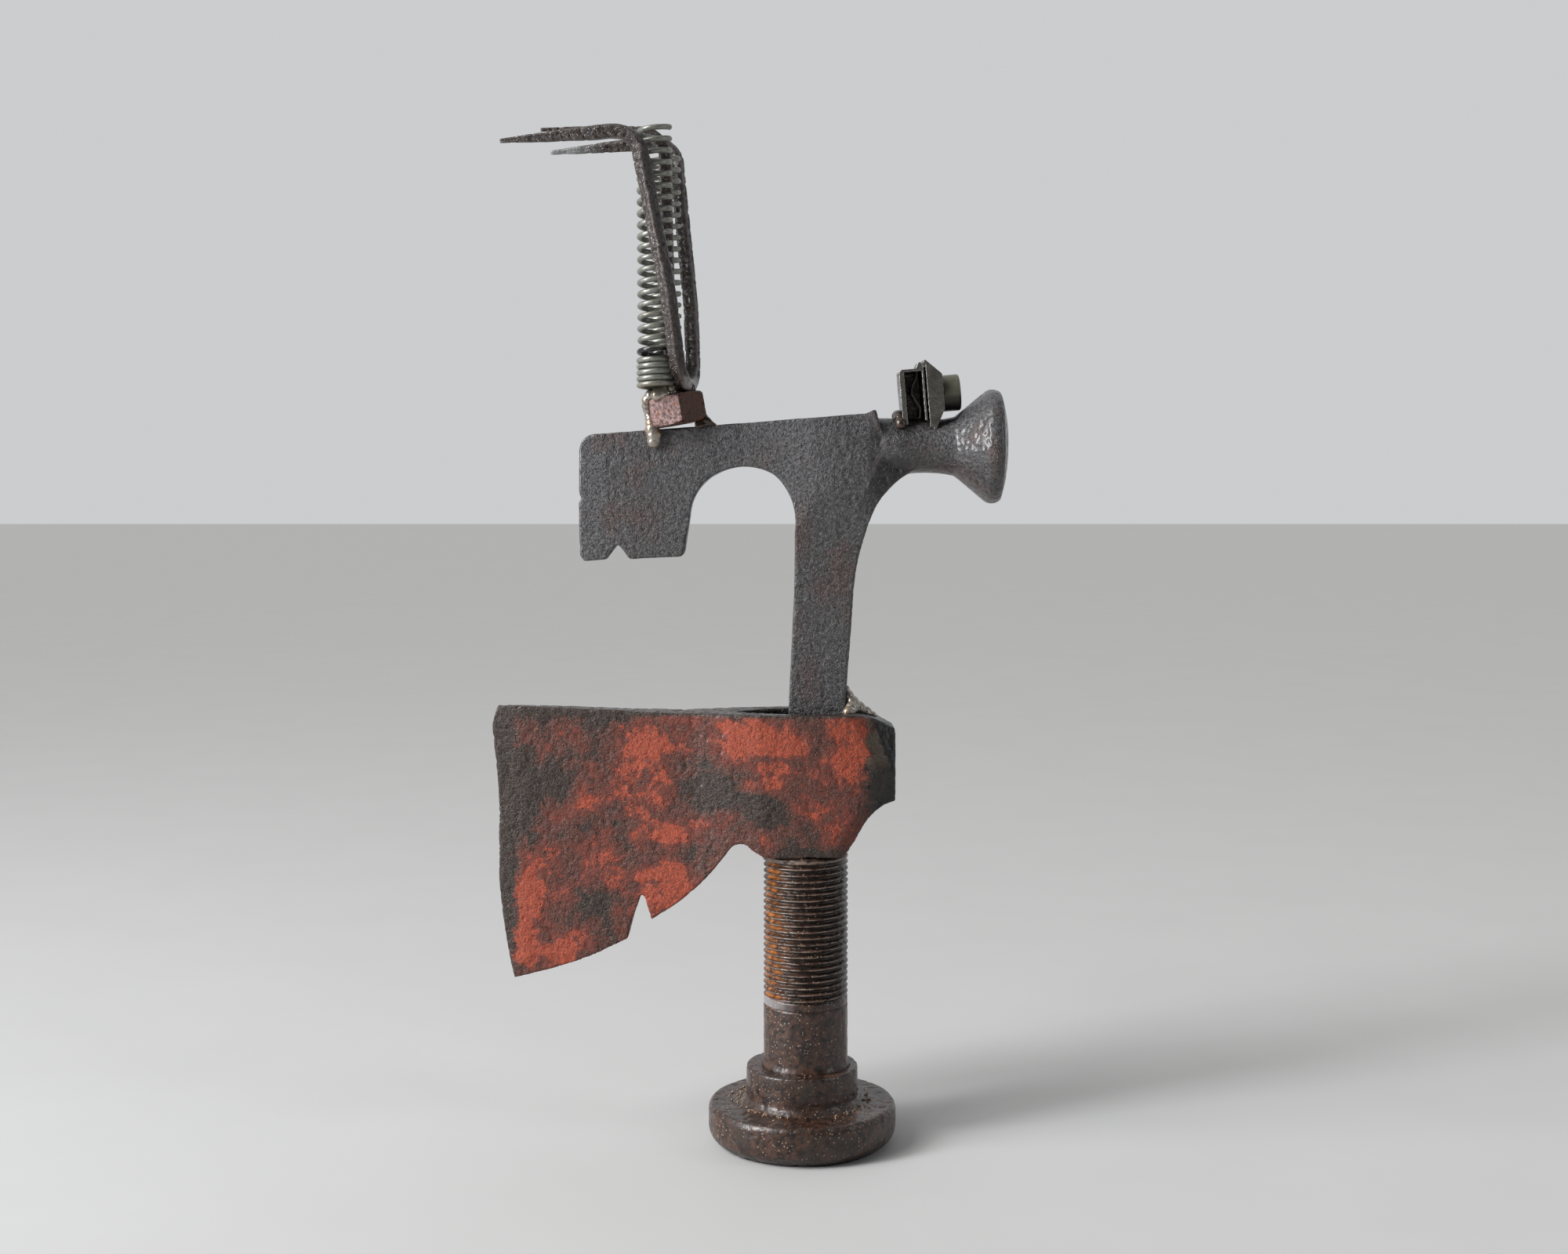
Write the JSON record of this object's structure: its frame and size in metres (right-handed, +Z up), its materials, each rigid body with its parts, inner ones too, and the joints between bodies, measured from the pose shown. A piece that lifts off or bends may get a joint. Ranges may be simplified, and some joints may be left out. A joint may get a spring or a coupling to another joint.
{
  "type": "welded tool sculpture",
  "caption": "Standing sculpture of welded old tools: a stud on a round foot carries a hatchet head and a hammer head, topped by a nut, a bent claw and coil springs.",
  "frame": {"origin": "centre of the round foot's underside, on the surface that the object stands on", "axes": "+Z up, +X towards the hammer's round striking face, +Y away from the side on which the longer spring stands"},
  "size_m": [0.1725, 0.064, 0.3408],
  "materials": {
    "foot_steel": "old brown steel with a thin rust film, satin",
    "stud_steel": "oiled dark steel, orange rust in the thread's grooves",
    "hatchet_paint": "worn orange-red paint over dark pitted steel",
    "hammer_steel": "dark pitted forged steel, semi-gloss",
    "nut_steel": "dull steel with mauve and rust tints",
    "claw_steel": "deeply pitted dark brown rod, glinting",
    "spring_wire": "greenish grey plated wire, darker at the foot",
    "clip_steel": "grey plated sheet steel with worn bright faces",
    "barrel_steel": "olive grey plated steel, dark below",
    "weld_metal": "glossy brown and silver weld beads"
  },
  "bodies": {
    "sculpture": {"base_foot": "foot_steel", "threaded_stud": "stud_steel", "hatchet_head": "hatchet_paint", "hammer_head": "hammer_steel", "hex_nut": "nut_steel", "outer_tines": "claw_steel", "middle_tine": "claw_steel", "front_spring": "spring_wire", "rear_spring": "spring_wire", "clip_bracket": "clip_steel", "clip_plate": "clip_steel", "clip_tongue": "clip_steel", "clip_barrel": "barrel_steel", "base_weld_front": "weld_metal", "base_weld_rear": "weld_metal", "tang_weld": "weld_metal", "nut_weld_left": "weld_metal", "nut_weld_right": "weld_metal", "tine_weld": "weld_metal", "spring_weld": "weld_metal", "clip_weld": "weld_metal"},
    "front_spring_top": {"front_spring_end": "spring_wire"},
    "rear_spring_top": {"rear_spring_end": "spring_wire"}
  },
  "joints": [
    {"name": "front_spring_press", "type": "slide", "parent": "sculpture", "child": "front_spring_top", "axis": [0, 0, 1], "range_m": [-0.008, 0.008], "stiffness_N_per_m": 7000, "deforming": ["front_spring"]},
    {"name": "rear_spring_press", "type": "slide", "parent": "sculpture", "child": "rear_spring_top", "axis": [0, 0, 1], "range_m": [-0.008, 0.008], "stiffness_N_per_m": 7800, "deforming": ["rear_spring"]}
  ]
}
